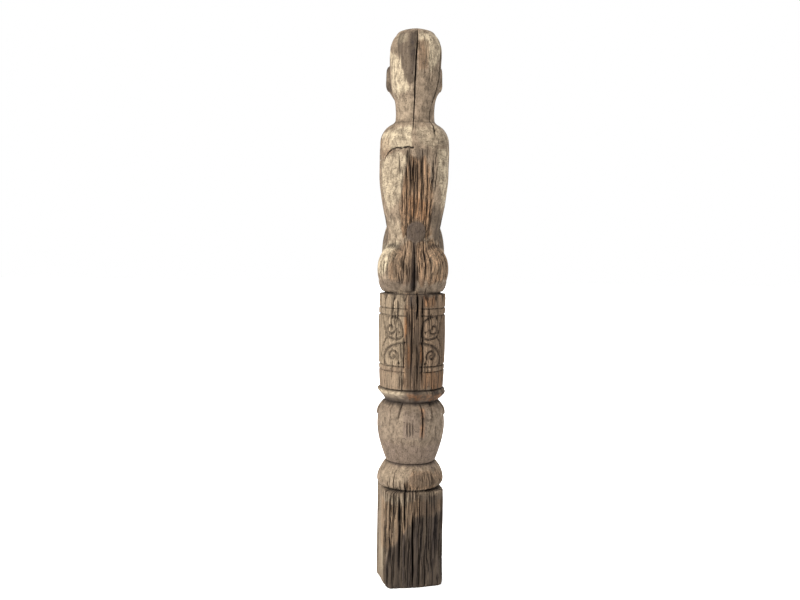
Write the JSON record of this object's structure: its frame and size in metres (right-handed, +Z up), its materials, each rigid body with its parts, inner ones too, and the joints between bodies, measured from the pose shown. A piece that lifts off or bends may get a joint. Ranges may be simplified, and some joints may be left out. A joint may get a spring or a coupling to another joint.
{
  "type": "guardian pole statue",
  "caption": "Tall weathered wooden guardian pole: a squatting figure above a carved drum, a jar and a square post, all cut from one log to stand upright.",
  "frame": {"origin": "middle of the square post's underside, on the pole's upright axis", "axes": "+Z up the pole, -Y out of the figure's face and knees, +Y out of its back, which is the side in the picture"},
  "size_m": [0.1606, 0.1538, 1.25],
  "materials": {
    "weathered_wood": "bare, weathered and split, grey-brown with raw brown and dark stained patches"
  },
  "bodies": {
    "root": {"guardian_pole": "weathered_wood"}
  },
  "joints": []
}
